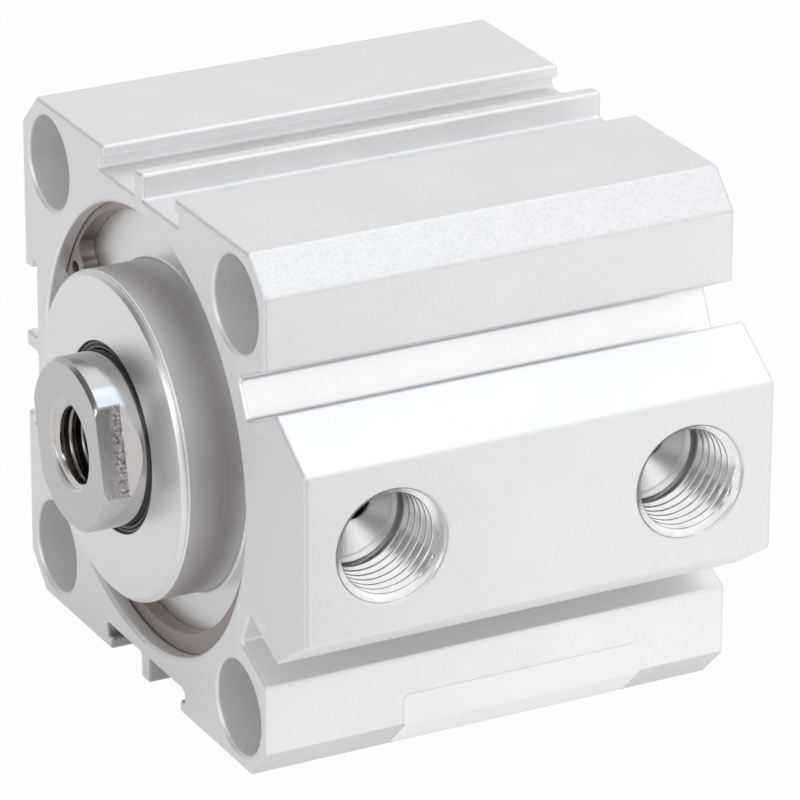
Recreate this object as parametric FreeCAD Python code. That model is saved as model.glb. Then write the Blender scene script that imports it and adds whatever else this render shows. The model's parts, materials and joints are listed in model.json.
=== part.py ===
import FreeCAD, Part
import math
import os

# Compact double-acting air cylinder with its rod drawn in. All lengths are in millimetres.
# X runs along the bore from the rear face, Y points to the port boss and Z points up.

# Bore, stroke and rod
bore_diameter = 50.0
stroke = 20.0
rod_diameter = 20.0
rod_reach = 5.0
rod_end_chamfer = 0.5
rod_flat_width = 17.0
rod_flat_length = 3.0
rod_flat_turn = 13.0
rod_thread_diameter = 10.0
rod_thread_depth = 15.0
rod_thread_chamfer = 0.4

# Extruded barrel section, whose width follows from the hole pitch and the edge distance
corner_chamfer = 4.0
channel_width = 20.4
channel_depth = 3.0
lip_overhang = 1.1
lip_thickness = 1.5
rail_width = 2.0
boss_reach = 9.5
boss_base_width = 29.4
boss_face_width = 20.0
sensor_slot_angle = 27.6
sensor_slot_slant = 26.0
sensor_slot_width = 4.65
sensor_slot_floor_radius = 29.2
slot_mouth_round = 0.28
outer_edge_round = 0.5
lip_edge_round = 0.35
groove_round = 0.5
end_edge_break = 0.25

# Corner mounting holes, the same at both ends
hole_pitch = 48.0
hole_edge_distance = 7.0
counterbore_diameter = 11.0
counterbore_depth = 8.5
mount_thread_diameter = 8.0
mount_thread_depth = 25.0
through_hole_diameter = 6.5
hole_mouth_bevel = 0.3

# Air ports in the boss
port_inset = 10.5
port_thread_diameter = 13.16
port_thread_depth = 9.8
port_drill_diameter = 11.5
port_drill_depth = 11.0
port_mouth_bevel = 0.27
air_hole_diameter = 4.5
air_hole_offset = 1.4
drill_point_angle = 118.0

# Covers and the retaining rings that hold them
cover_seat_diameter = 52.0
seat_mouth_bevel = 0.35
mouth_depth = 2.0
ring_thickness = 2.0
ring_groove_depth = 1.0
ring_width = 2.6
ring_offset = 1.2
ring_gap_angle = 165.0
rear_ring_turn = 105.0
lug_angle = 13.0
lug_width = 4.6
lug_depth = 4.1
lug_corner_round = 0.9
lug_root_round = 1.6
lug_hole_diameter = 2.0
lug_hole_depth = 2.5
cover_flange_length = 4.0
cover_nose_length = 2.0
cover_nose_diameter = 44.0
cover_edge_bevel = 0.4
rear_dish_diameter = 30.0
rear_dish_depth = 0.8
collar_diameter = 38.0
collar_reach = 4.0
collar_chamfer = 0.7
collar_root_round = 0.4

# Rod guide and rod seal in the front cover
bush_wall = 2.0
bush_recess = 0.3
bush_edge_bevel = 0.2
rod_opening_gap = 1.05
rod_opening_bevel = 0.1
opening_wall = 1.6
seal_groove_length = 5.0
seal_groove_depth = 4.0
seal_lip_land = 0.8
seal_notch_depth = 1.7
wiper_lip_thickness = 0.9
wiper_lip_setback = 0.3

# O-rings
oring_section = 1.8
oring_squeeze = 0.2
oring_groove_width = 2.4
oring_corner_share = 0.45

# Piston, magnet and bumpers
piston_length = 9.9
piston_edge_bevel = 0.4
rod_socket_depth = 3.0
spigot_diameter = 14.0
spigot_setback = 0.2
wear_groove_inset = 0.9
wear_ring_width = 2.4
wear_ring_wall = 1.6
wear_ring_slit = 1.0
wear_ring_slit_angle = 45.0
seal_groove_inset = 1.0
piston_seal_width = 3.8
piston_seal_height = 5.0
piston_seal_notch = 0.6
holder_flange_length = 2.0
holder_hub_diameter = 32.0
magnet_washer_thickness = 0.9
magnet_length = 3.0
magnet_diameter = 46.8
magnet_edge_bevel = 0.3
bumper_inner_diameter = 26.0
bumper_outer_diameter = 37.0
bumper_seat_depth = 1.0
bumper_proud = 1.0
bumper_edge_bevel = 0.4

# Countersunk screw that clamps the piston to the rod
screw_thread_diameter = 8.0
screw_length = 16.5
screw_head_diameter = 15.0
screw_head_rim = 0.3
screw_head_setback = 0.3
screw_hole_gap = 0.3
screw_tail_room = 2.0
hex_key_width = 5.0
hex_key_depth = 2.6

# Bare foil label on the lower land and its chamfer
label_length = 30.0
label_rear = 11.0
label_land_height = 3.7
label_bottom_margin = 0.4
label_thickness = 0.12

# Clearances
stop_gap = 0.1
seat_gap = 0.05
touch_gap = 0.02
bush_gap = 0.04
seal_gap = 0.06
piston_gap = 0.2
wear_gap = 0.07
groove_gap = 0.1
overshoot = 2.0

# Stations along X that follow from the sizes above
half_width = hole_pitch / 2 + hole_edge_distance
bore_radius = bore_diameter / 2
rod_radius = rod_diameter / 2
seat_radius = cover_seat_diameter / 2
ring_groove_radius = seat_radius + ring_groove_depth
cover_face = mouth_depth + ring_thickness
seat_shoulder = cover_face + cover_flange_length
rear_stop = seat_shoulder + cover_nose_length
holder_rear = rear_stop + stop_gap + bumper_proud
washer_rear = holder_rear + holder_flange_length
magnet_rear = washer_rear + magnet_washer_thickness
piston_rear = magnet_rear + magnet_length
piston_front = piston_rear + piston_length
front_stop = piston_front + bumper_proud + stop_gap + stroke
body_length = front_stop + rear_stop
collar_front = body_length + collar_reach
rod_front = collar_front + rod_reach
rod_shoulder = piston_front - rod_socket_depth
spigot_rear = piston_rear + spigot_setback
screw_head_top = holder_rear + screw_head_setback
screw_head_cone = screw_head_top + screw_head_rim + (screw_head_diameter - screw_thread_diameter) / 2
screw_tip = screw_head_top + screw_length
drill_slope = math.tan(math.radians(drill_point_angle / 2))
oring_height = oring_section - oring_squeeze
bush_seat_radius = rod_radius + bush_gap + bush_wall
seal_groove_radius = rod_radius + seal_groove_depth
seal_groove_front = collar_front - opening_wall
seal_groove_rear = seal_groove_front - seal_groove_length
piston_radius = bore_radius - piston_gap
wear_groove_rear = piston_rear + wear_groove_inset
wear_groove_front = wear_groove_rear + wear_ring_width + 2 * groove_gap
wear_groove_floor = bore_radius - wear_gap - wear_ring_wall - groove_gap
piston_groove_front = piston_front - seal_groove_inset
piston_groove_rear = piston_groove_front - piston_seal_width - 2 * groove_gap
piston_groove_floor = bore_radius - seal_gap - piston_seal_height - groove_gap

ORIGIN = FreeCAD.Vector(0, 0, 0)
X_AXIS = FreeCAD.Vector(1, 0, 0)
Z_AXIS = FreeCAD.Vector(0, 0, 1)


def in_section(y, z):
    """Point of the barrel's cross-section."""
    return FreeCAD.Vector(0, y, z)


def in_half_plane(x, radius):
    """Point of a turned profile, at a station on the axis and a radius."""
    return FreeCAD.Vector(x, radius, 0)


def rounded_wire(corners, place):
    """Closed wire through corners (u, v) or (u, v, radius), with a tangent arc at each radius."""
    points = [place(corner[0], corner[1]) for corner in corners]
    radii = [corner[2] if len(corner) > 2 else 0.0 for corner in corners]
    arrivals, middles, departures = [], [], []
    for index, here in enumerate(points):
        back = (points[index - 1] - here).normalize()
        ahead = (points[(index + 1) % len(points)] - here).normalize()
        half_angle = back.getAngle(ahead) / 2
        reach = radii[index] / math.tan(half_angle)
        rise = radii[index] / math.sin(half_angle) - radii[index]
        arrivals.append(here + back * reach)
        middles.append(here + (back + ahead).normalize() * rise)
        departures.append(here + ahead * reach)
    edges = []
    for index, radius in enumerate(radii):
        if radius > 0:
            edges.append(Part.Arc(arrivals[index], middles[index], departures[index]).toShape())
        following = arrivals[(index + 1) % len(points)]
        edges.append(Part.LineSegment(departures[index], following).toShape())
    return Part.Wire(edges)


def turned(corners):
    """Solid turned about the bore axis from a profile of (station, radius) corners."""
    face = Part.Face(rounded_wire(corners, in_half_plane))
    return face.revolve(ORIGIN, X_AXIS, 360)


def tube(rear, front, inner_radius, outer_radius, bevel=0.0):
    """Plain ring about the bore axis with all four edges broken by the same bevel."""
    corners = [
        (rear + bevel, inner_radius),
        (rear, inner_radius + bevel),
        (rear, outer_radius - bevel),
        (rear + bevel, outer_radius),
        (front - bevel, outer_radius),
        (front, outer_radius - bevel),
        (front, inner_radius + bevel),
        (front - bevel, inner_radius),
    ]
    if bevel == 0:
        corners = corners[1:3] + corners[5:7]
    return turned(corners)


def rod_of(rear, front, radius):
    """Cylinder along the bore axis."""
    return Part.makeCylinder(radius, front - rear, FreeCAD.Vector(rear, 0, 0), X_AXIS)


def squeezed_oring(middle, inner_radius):
    """O-ring pressed oval between a groove floor and a wall one section height outside it."""
    low = inner_radius + touch_gap
    high = inner_radius + oring_height - touch_gap
    half = oring_section / 2 + oring_squeeze / 2
    curve = (high - low) * oring_corner_share
    corners = [
        (middle - half, low, curve),
        (middle - half, high, curve),
        (middle + half, high, curve),
        (middle + half, low, curve),
    ]
    return turned(corners)


def end_for_end(shape):
    """The same shape at the other end of the barrel."""
    return shape.mirror(FreeCAD.Vector(body_length / 2, 0, 0), X_AXIS)


def channelled_side(quarter_turns):
    """Corners of a side with a shallow lipped channel and a centre rail, in the order of the outline."""
    floor = half_width - channel_depth
    under_lip = half_width - lip_thickness
    wall = channel_width / 2
    lip = wall - lip_overhang
    rail = rail_width / 2
    land_end = half_width - corner_chamfer
    half_side = [
        (rail, half_width, lip_edge_round),
        (rail, floor, lip_edge_round),
        (wall, floor, groove_round),
        (wall, under_lip, lip_edge_round),
        (lip, under_lip, lip_edge_round),
        (lip, half_width, lip_edge_round),
        (land_end, half_width, outer_edge_round),
    ]
    side = [(-along, out, curve) for along, out, curve in reversed(half_side)] + half_side
    cosine = round(math.cos(math.radians(90 * quarter_turns)))
    sine = round(math.sin(math.radians(90 * quarter_turns)))
    return [(out * cosine - along * sine, out * sine + along * cosine, curve) for along, out, curve in side]


def boss_side():
    """Corners of the +Y side: two lands, two slanted sensor slots and the port boss between them."""
    place = math.radians(sensor_slot_angle)
    floor_y = sensor_slot_floor_radius * math.cos(place)
    floor_z = sensor_slot_floor_radius * math.sin(place)
    slant = math.radians(sensor_slot_slant)
    across_y = sensor_slot_width / 2 * math.sin(slant)
    across_z = sensor_slot_width / 2 * math.cos(slant)
    outer_floor = (floor_y - across_y, floor_z + across_z)
    inner_floor = (floor_y + across_y, floor_z - across_z)
    mouth_z = outer_floor[1] + (half_width - outer_floor[0]) * math.tan(slant)
    base_z = boss_base_width / 2
    base_y = inner_floor[0] + (base_z - inner_floor[1]) / math.tan(slant)
    upper = [
        (half_width + boss_reach, boss_face_width / 2, outer_edge_round),
        (base_y, base_z, outer_edge_round),
        (inner_floor[0], inner_floor[1], groove_round),
        (outer_floor[0], outer_floor[1], groove_round),
        (half_width, mouth_z, slot_mouth_round),
        (half_width, half_width - corner_chamfer, outer_edge_round),
    ]
    lower = [(y, -z, curve) for y, z, curve in reversed(upper)]
    return lower + upper


def bar_with_broken_ends():
    """Length of the extruded section with the sharp edges of both ends broken."""
    outline = boss_side()
    for quarter_turns in (1, 2, 3):
        outline += channelled_side(quarter_turns)
    bar = Part.Face(rounded_wire(outline, in_section)).extrude(X_AXIS * body_length)
    end_edges = [edge for edge in bar.Edges if edge.BoundBox.XLength < end_edge_break]
    return bar.makeChamfer(end_edge_break, end_edges)


def beveled_mouth(radius, bevel, depth):
    """Cutter that opens from x = 0 with a beveled mouth and runs to a depth."""
    corners = [
        (-overshoot, 0),
        (-overshoot, radius + bevel + overshoot),
        (bevel, radius),
        (depth, radius),
        (depth, 0),
    ]
    return turned(corners)


def cover_seat_cutter():
    """Cutter for one end of the bore: beveled mouth, ring groove and cover seat."""
    seat = beveled_mouth(seat_radius, seat_mouth_bevel, seat_shoulder)
    groove = rod_of(mouth_depth - groove_gap, cover_face, ring_groove_radius)
    return seat.fuse(groove)


def mounting_hole_cutter():
    """Cutter for one end of a mounting hole, on the bore axis: counterbore, thread and through hole."""
    counterbore = beveled_mouth(counterbore_diameter / 2, hole_mouth_bevel, counterbore_depth)
    threaded = rod_of(0, mount_thread_depth, mount_thread_diameter / 2)
    through = rod_of(0, body_length, through_hole_diameter / 2)
    return counterbore.fuse([threaded, through])


def port_cutter():
    """Cutter for one port, opening to -X: beveled mouth, thread, drilled end and an offset air hole."""
    thread_radius = port_thread_diameter / 2
    drill_radius = port_drill_diameter / 2
    bore_depth = half_width + boss_reach - bore_radius + overshoot
    corners = [
        (-overshoot, 0),
        (-overshoot, thread_radius + port_mouth_bevel + overshoot),
        (port_mouth_bevel, thread_radius),
        (port_thread_depth, thread_radius),
        (port_thread_depth, drill_radius),
        (port_drill_depth, drill_radius),
        (port_drill_depth + drill_radius / drill_slope, 0),
    ]
    air_hole = rod_of(port_drill_depth, bore_depth, air_hole_diameter / 2)
    return turned(corners).fuse(air_hole.translated(FreeCAD.Vector(0, -air_hole_offset, 0)))


def make_barrel():
    """Extruded body with its bore, cover seats, mounting holes and ports."""
    one_end = [cover_seat_cutter()]
    for y in (-hole_pitch / 2, hole_pitch / 2):
        for z in (-hole_pitch / 2, hole_pitch / 2):
            one_end.append(mounting_hole_cutter().translated(FreeCAD.Vector(0, y, z)))
    other_end = [end_for_end(cutter) for cutter in one_end]
    ports = []
    for station in (port_inset, body_length - port_inset):
        port = port_cutter()
        port.rotate(ORIGIN, Z_AXIS, -90)
        port.translate(FreeCAD.Vector(station, half_width + boss_reach, 0))
        ports.append(port)
    bore = rod_of(0, body_length, bore_radius)
    return bar_with_broken_ends().cut([bore] + one_end + other_end + ports)


def cover_outside():
    """Profile of a cover's nose and flange with its O-ring groove, as it lies at the rear end."""
    flange_radius = seat_radius - seat_gap
    nose_radius = cover_nose_diameter / 2
    groove_floor = seat_radius - oring_height
    groove_middle = (cover_face + seat_shoulder) / 2
    groove_inner = groove_middle + oring_groove_width / 2
    groove_outer = groove_middle - oring_groove_width / 2
    return [
        (rear_stop, nose_radius - cover_edge_bevel),
        (rear_stop - cover_edge_bevel, nose_radius),
        (seat_shoulder, nose_radius),
        (seat_shoulder, flange_radius),
        (groove_inner, flange_radius),
        (groove_inner, groove_floor),
        (groove_outer, groove_floor),
        (groove_outer, flange_radius),
        (cover_face + cover_edge_bevel, flange_radius),
        (cover_face, flange_radius - cover_edge_bevel),
    ]


def make_rear_cover():
    """Closing disc of the rear end, with a shallow turned dish in its outer face."""
    dish_radius = rear_dish_diameter / 2
    dish_floor = cover_face + rear_dish_depth
    dish = [(cover_face, dish_radius), (dish_floor, dish_radius), (dish_floor, 0)]
    return turned([(rear_stop, 0)] + cover_outside() + dish)


def make_front_cover():
    """Front cover: flange in the bore, collar in front of it, seats for the bush and the rod seal."""
    collar_radius = collar_diameter / 2
    opening_radius = rod_radius + rod_opening_gap
    outside = [(body_length - x, radius) for x, radius in cover_outside()]
    collar = [
        (body_length - cover_face, collar_radius, collar_root_round),
        (collar_front - collar_chamfer, collar_radius),
        (collar_front, collar_radius - collar_chamfer),
    ]
    inside = [
        (collar_front, opening_radius + rod_opening_bevel),
        (collar_front - rod_opening_bevel, opening_radius),
        (seal_groove_front, opening_radius),
        (seal_groove_front, seal_groove_radius),
        (seal_groove_rear, seal_groove_radius),
        (seal_groove_rear, bush_seat_radius),
        (front_stop, bush_seat_radius),
    ]
    return turned(outside + collar + inside)


def make_cover_oring():
    """O-ring of the rear cover, squeezed between its groove and the cover seat."""
    return squeezed_oring((cover_face + seat_shoulder) / 2, seat_radius - oring_height)


def make_rod_bush():
    """Plain bearing sleeve pressed into the front cover."""
    rear = front_stop + bush_recess
    front = seal_groove_rear - bush_recess
    return tube(rear, front, rod_radius + bush_gap, bush_seat_radius - touch_gap, bush_edge_bevel)


def make_rod_seal():
    """Lip seal in the front cover, with a wiper lip that reaches through the rod opening."""
    rear = seal_groove_rear + groove_gap
    front = seal_groove_front - groove_gap
    inner = rod_radius + seal_gap
    relief = inner + wiper_lip_thickness
    outer = seal_groove_radius - touch_gap
    wiper_front = collar_front - wiper_lip_setback
    corners = [
        (rear, inner),
        (rear + seal_lip_land, inner),
        (rear + 2 * seal_lip_land, relief),
        (front - seal_lip_land, relief),
        (front, inner),
        (wiper_front, inner),
        (wiper_front, relief),
        (front, relief),
        (front, outer),
        (rear, outer),
        (rear, outer - seal_lip_land),
        (rear + seal_notch_depth, (inner + outer) / 2),
        (rear, inner + seal_lip_land),
    ]
    return turned(corners)


def make_retaining_ring(turn):
    """Open internal ring that tapers towards its gap, with two drilled lugs, in the rear groove."""
    outer = ring_groove_radius - groove_gap
    inner = outer - ring_width
    middle = FreeCAD.Vector(0, ring_offset, 0)
    ring = rod_of(0, ring_thickness, outer).cut(Part.makeCylinder(inner, ring_thickness, middle, X_AXIS))
    half_lug = lug_width / 2
    lug_inner = outer - lug_depth
    lug_root = outer - ring_groove_depth
    lug_corners = [
        (lug_inner, -half_lug, lug_corner_round),
        (lug_root, -half_lug),
        (lug_root, half_lug),
        (lug_inner, half_lug, lug_corner_round),
    ]
    angle = math.radians(lug_angle)
    gap_corners = []
    for side, reach in ((1, lug_inner), (1, outer + overshoot), (-1, outer + overshoot), (-1, lug_inner)):
        y = reach * math.cos(angle) + half_lug * math.sin(angle)
        z = reach * math.sin(angle) - half_lug * math.cos(angle)
        gap_corners.append((y, side * z))
    gap = Part.Face(rounded_wire(gap_corners, in_section)).extrude(X_AXIS * ring_thickness)
    ring = ring.cut(gap)
    for side in (-1, 1):
        lug = Part.Face(rounded_wire(lug_corners, in_section)).extrude(X_AXIS * ring_thickness)
        hole_place = FreeCAD.Vector(0, outer - lug_hole_depth, 0)
        hole = Part.makeCylinder(lug_hole_diameter / 2, ring_thickness, hole_place, X_AXIS)
        lug.rotate(ORIGIN, X_AXIS, side * lug_angle)
        hole.rotate(ORIGIN, X_AXIS, side * lug_angle)
        ring = ring.fuse(lug).cut(hole)
    ring = ring.removeSplitter()
    lug_roots = []
    for edge in ring.Edges:
        place = edge.CenterOfMass
        on_inner_circle = abs(math.hypot(place.y - ring_offset, place.z) - inner) < touch_gap
        beside_lug = place.y > inner * math.cos(2 * angle)
        if on_inner_circle and beside_lug and edge.BoundBox.XLength > ring_thickness / 2:
            lug_roots.append(edge)
    ring = ring.makeFillet(lug_root_round, lug_roots)
    ring.rotate(ORIGIN, X_AXIS, turn)
    ring.translate(FreeCAD.Vector(mouth_depth, 0, 0))
    return ring


def make_piston_rod():
    """Rod with a drilled front end, two spanner flats and a grooved spigot that carries the piston."""
    spigot_radius = spigot_diameter / 2
    tail_radius = screw_thread_diameter / 2 + touch_gap
    tail_end = screw_tip + screw_tail_room
    thread_radius = rod_thread_diameter / 2
    thread_end = rod_front - rod_thread_depth
    groove_middle = (spigot_rear + rod_shoulder) / 2
    groove_floor = spigot_radius + touch_gap - oring_height
    corners = [
        (tail_end + tail_radius / drill_slope, 0),
        (tail_end, tail_radius),
        (spigot_rear, tail_radius),
        (spigot_rear, spigot_radius),
        (groove_middle - oring_groove_width / 2, spigot_radius),
        (groove_middle - oring_groove_width / 2, groove_floor),
        (groove_middle + oring_groove_width / 2, groove_floor),
        (groove_middle + oring_groove_width / 2, spigot_radius),
        (rod_shoulder, spigot_radius),
        (rod_shoulder, rod_radius),
        (rod_front - rod_end_chamfer, rod_radius),
        (rod_front, rod_radius - rod_end_chamfer),
        (rod_front, thread_radius + rod_thread_chamfer),
        (rod_front - rod_thread_chamfer, thread_radius),
        (thread_end, thread_radius),
        (thread_end - thread_radius / drill_slope, 0),
    ]
    rod = turned(corners)
    for side in (-1, 1):
        slab = Part.makeBox(rod_flat_length + overshoot, rod_diameter, 2 * rod_diameter)
        middle_y = side * (rod_flat_width + rod_diameter) / 2
        slab.translate(FreeCAD.Vector(rod_front - rod_flat_length, middle_y - rod_radius, -rod_diameter))
        slab.rotate(ORIGIN, X_AXIS, rod_flat_turn)
        rod = rod.cut(slab)
    return rod


def make_rod_oring():
    """O-ring on the spigot that keeps air from passing between the rod and the piston."""
    groove_floor = spigot_diameter / 2 + touch_gap - oring_height
    return squeezed_oring((spigot_rear + rod_shoulder) / 2, groove_floor)


def make_magnet_holder():
    """Rear half of the piston: hub for the magnet, countersink for the screw, seat for the bumper."""
    hole_radius = screw_thread_diameter / 2 + screw_hole_gap
    head_radius = screw_head_diameter / 2 + touch_gap
    rim_end = screw_head_top + screw_head_rim
    hub_radius = holder_hub_diameter / 2
    seat_floor = holder_rear + bumper_seat_depth
    corners = [
        (rim_end + head_radius - hole_radius, hole_radius),
        (rim_end, head_radius),
        (holder_rear, head_radius),
        (holder_rear, bumper_inner_diameter / 2),
        (seat_floor, bumper_inner_diameter / 2),
        (seat_floor, bumper_outer_diameter / 2),
        (holder_rear, bumper_outer_diameter / 2),
        (holder_rear, piston_radius - piston_edge_bevel),
        (holder_rear + piston_edge_bevel, piston_radius),
        (washer_rear, piston_radius),
        (washer_rear, hub_radius),
        (piston_rear, hub_radius),
        (piston_rear, hole_radius),
    ]
    return turned(corners)


def make_piston():
    """Front half of the piston with the wear ring groove, the seal groove and the bumper seat."""
    bore_of_piston = spigot_diameter / 2 + touch_gap
    socket_radius = rod_radius + touch_gap
    seat_floor = piston_front - bumper_seat_depth
    corners = [
        (piston_rear, bore_of_piston),
        (piston_rear, piston_radius),
        (wear_groove_rear, piston_radius),
        (wear_groove_rear, wear_groove_floor),
        (wear_groove_front, wear_groove_floor),
        (wear_groove_front, piston_radius),
        (piston_groove_rear, piston_radius),
        (piston_groove_rear, piston_groove_floor),
        (piston_groove_front, piston_groove_floor),
        (piston_groove_front, piston_radius),
        (piston_front - piston_edge_bevel, piston_radius),
        (piston_front, piston_radius - piston_edge_bevel),
        (piston_front, bumper_outer_diameter / 2),
        (seat_floor, bumper_outer_diameter / 2),
        (seat_floor, bumper_inner_diameter / 2),
        (piston_front, bumper_inner_diameter / 2),
        (piston_front, socket_radius),
        (rod_shoulder, socket_radius),
        (rod_shoulder, bore_of_piston),
    ]
    return turned(corners)


def make_piston_seal():
    """Double-acting lip seal in the piston's groove."""
    rear = piston_groove_rear + groove_gap
    front = piston_groove_front - groove_gap
    inner = piston_groove_floor + groove_gap
    outer = bore_radius - seal_gap
    shoulder = outer - piston_seal_notch
    step = piston_seal_width / 6
    corners = [
        (rear, inner),
        (rear, shoulder),
        (rear + step, outer),
        (rear + 2 * step, outer),
        (rear + 3 * step, shoulder),
        (rear + 4 * step, outer),
        (rear + 5 * step, outer),
        (front, shoulder),
        (front, inner),
    ]
    return turned(corners)


def make_wear_ring():
    """Guide strip round the piston, cut through on the slant."""
    rear = wear_groove_rear + groove_gap
    front = wear_groove_front - groove_gap
    ring = tube(rear, front, wear_groove_floor + groove_gap, bore_radius - wear_gap)
    half_run = wear_ring_width + overshoot
    slit = Part.makeBox(2 * half_run, wear_ring_slit, bore_diameter)
    slit.translate(FreeCAD.Vector(-half_run, -wear_ring_slit / 2, 0))
    slit.rotate(ORIGIN, Z_AXIS, wear_ring_slit_angle)
    slit.translate(FreeCAD.Vector((rear + front) / 2, 0, 0))
    return ring.cut(slit)


def make_magnet_washer():
    """Soft washer that takes up the play of the magnet."""
    return tube(washer_rear, magnet_rear, holder_hub_diameter / 2 + touch_gap, magnet_diameter / 2)


def make_magnet():
    """Ring magnet that the sensors in the slots read."""
    inner = holder_hub_diameter / 2 + touch_gap
    return tube(magnet_rear, piston_rear, inner, magnet_diameter / 2, magnet_edge_bevel)


def make_bumper(rear):
    """Elastic stop ring seated in an end face of the piston."""
    inner = bumper_inner_diameter / 2 + touch_gap
    outer = bumper_outer_diameter / 2 - touch_gap
    return tube(rear, rear + bumper_seat_depth + bumper_proud, inner, outer, bumper_edge_bevel)


def make_piston_screw():
    """Countersunk socket screw through the magnet holder into the rod."""
    head_radius = screw_head_diameter / 2
    thread_radius = screw_thread_diameter / 2
    corners = [
        (screw_head_top, 0),
        (screw_head_top, head_radius),
        (screw_head_top + screw_head_rim, head_radius),
        (screw_head_cone, thread_radius),
        (screw_tip, thread_radius),
        (screw_tip, 0),
    ]
    corner_radius = hex_key_width / math.sqrt(3)
    hexagon = []
    for step in range(6):
        angle = math.radians(60 * step)
        hexagon.append((corner_radius * math.cos(angle), corner_radius * math.sin(angle)))
    socket = Part.Face(rounded_wire(hexagon, in_section)).extrude(X_AXIS * hex_key_depth)
    socket.translate(FreeCAD.Vector(screw_head_top, 0, 0))
    return turned(corners).cut(socket)


def make_name_label():
    """Bare foil stuck to the lower land beside the boss and folded onto the corner chamfer."""
    fold_z = corner_chamfer - half_width
    top_z = fold_z + label_land_height
    fold_shift = label_thickness * (math.sqrt(2) - 1)
    skew = label_thickness / math.sqrt(2)
    end_y = half_width - corner_chamfer + label_bottom_margin
    end_z = label_bottom_margin - half_width
    corners = [
        (half_width, top_z),
        (half_width, fold_z),
        (end_y, end_z),
        (end_y + skew, end_z - skew),
        (half_width + label_thickness, fold_z - fold_shift),
        (half_width + label_thickness, top_z),
    ]
    foil = Part.Face(rounded_wire(corners, in_section)).extrude(X_AXIS * label_length)
    return foil.translated(FreeCAD.Vector(label_rear, 0, 0))


pieces = {
    "barrel": make_barrel(),
    "front_cover": make_front_cover(),
    "front_cover_oring": end_for_end(make_cover_oring()),
    "rod_bush": make_rod_bush(),
    "rod_seal": make_rod_seal(),
    "front_retaining_ring": end_for_end(make_retaining_ring(ring_gap_angle)),
    "rear_cover": make_rear_cover(),
    "rear_cover_oring": make_cover_oring(),
    "rear_retaining_ring": make_retaining_ring(ring_gap_angle + rear_ring_turn),
    "piston_rod": make_piston_rod(),
    "rod_oring": make_rod_oring(),
    "piston": make_piston(),
    "piston_seal": make_piston_seal(),
    "wear_ring": make_wear_ring(),
    "magnet_holder": make_magnet_holder(),
    "magnet_washer": make_magnet_washer(),
    "magnet": make_magnet(),
    "piston_screw": make_piston_screw(),
    "front_bumper": make_bumper(piston_front - bumper_seat_depth),
    "rear_bumper": make_bumper(holder_rear - bumper_proud),
    "name_label": make_name_label(),
}

os.makedirs("parts", exist_ok=True)
for name, shape in pieces.items():
    shape.exportStep("parts/" + name + ".step")
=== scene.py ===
"""Looks of the compact air cylinder: threads, turned faces, seals, foil and finishes on its frame."""

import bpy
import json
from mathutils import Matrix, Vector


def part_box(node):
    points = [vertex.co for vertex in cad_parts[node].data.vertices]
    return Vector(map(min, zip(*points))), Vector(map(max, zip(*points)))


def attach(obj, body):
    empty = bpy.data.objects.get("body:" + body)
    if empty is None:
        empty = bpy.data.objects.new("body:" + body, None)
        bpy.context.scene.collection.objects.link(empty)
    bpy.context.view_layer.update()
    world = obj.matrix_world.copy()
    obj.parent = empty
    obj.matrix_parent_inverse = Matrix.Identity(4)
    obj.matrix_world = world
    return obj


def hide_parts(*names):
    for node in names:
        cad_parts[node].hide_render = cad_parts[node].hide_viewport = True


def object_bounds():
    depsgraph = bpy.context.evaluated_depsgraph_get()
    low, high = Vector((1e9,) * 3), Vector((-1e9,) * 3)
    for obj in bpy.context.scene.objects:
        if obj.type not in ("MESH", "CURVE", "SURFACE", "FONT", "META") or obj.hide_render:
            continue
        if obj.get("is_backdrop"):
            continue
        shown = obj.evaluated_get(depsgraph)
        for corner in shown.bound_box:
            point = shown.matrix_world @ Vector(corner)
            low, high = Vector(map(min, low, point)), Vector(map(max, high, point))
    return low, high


bl_info = {
    "name": "Compact air cylinder",
    "version": (1, 0, 0),
    "blender": (4, 5, 0),
    "location": "View3D > Sidebar > Air cylinder",
    "description": "Models the visible detail and the finishes of a compact air cylinder",
    "category": "Object",
}

import json
import math

import bpy
from mathutils import Matrix, Vector

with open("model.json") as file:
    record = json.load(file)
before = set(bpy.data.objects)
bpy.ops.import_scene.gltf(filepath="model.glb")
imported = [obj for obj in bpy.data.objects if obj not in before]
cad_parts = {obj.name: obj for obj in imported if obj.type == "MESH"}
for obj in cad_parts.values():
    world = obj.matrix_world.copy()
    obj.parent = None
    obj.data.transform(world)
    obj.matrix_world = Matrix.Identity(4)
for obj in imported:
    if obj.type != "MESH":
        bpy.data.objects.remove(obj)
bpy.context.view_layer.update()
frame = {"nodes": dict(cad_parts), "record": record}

MM = 0.001
BODY = "cylinder_body"
ROD = "rod"

# Places that come from the frame, where the lands beside the boss lie as far out as the far side
MOUNTS = {mount["name"]: mount for mount in frame["record"]["mounts"]}
BARREL_LOW, BARREL_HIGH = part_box("barrel")
BODY_MIDDLE = (BARREL_LOW.x + BARREL_HIGH.x) / 2
HALF_LENGTH = BARREL_HIGH.x - BODY_MIDDLE
LAND_FACE = -BARREL_LOW.y
BOSS_FACE = BARREL_HIGH.y
HOLE_OFFSET = MOUNTS["front_mounting_holes"]["dims"]["spacing_x_mm"] / 2 * MM
PORT_OFFSET = MOUNTS["front_port"]["pos_m"][0] - BODY_MIDDLE
ROD_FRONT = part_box("piston_rod")[1].x

# Fineness of the meshes
TURN_STEPS = 160
THREAD_STEPS = 72
MOUNT_THREAD_STEPS = 40
CORNER_STEPS = 6
SMOOTH_ANGLE = math.radians(32)
THREAD_SMOOTH_ANGLE = math.radians(40)
FLATNESS = math.radians(0.5)
MERGE_DISTANCE = 0.002 * MM

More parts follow.
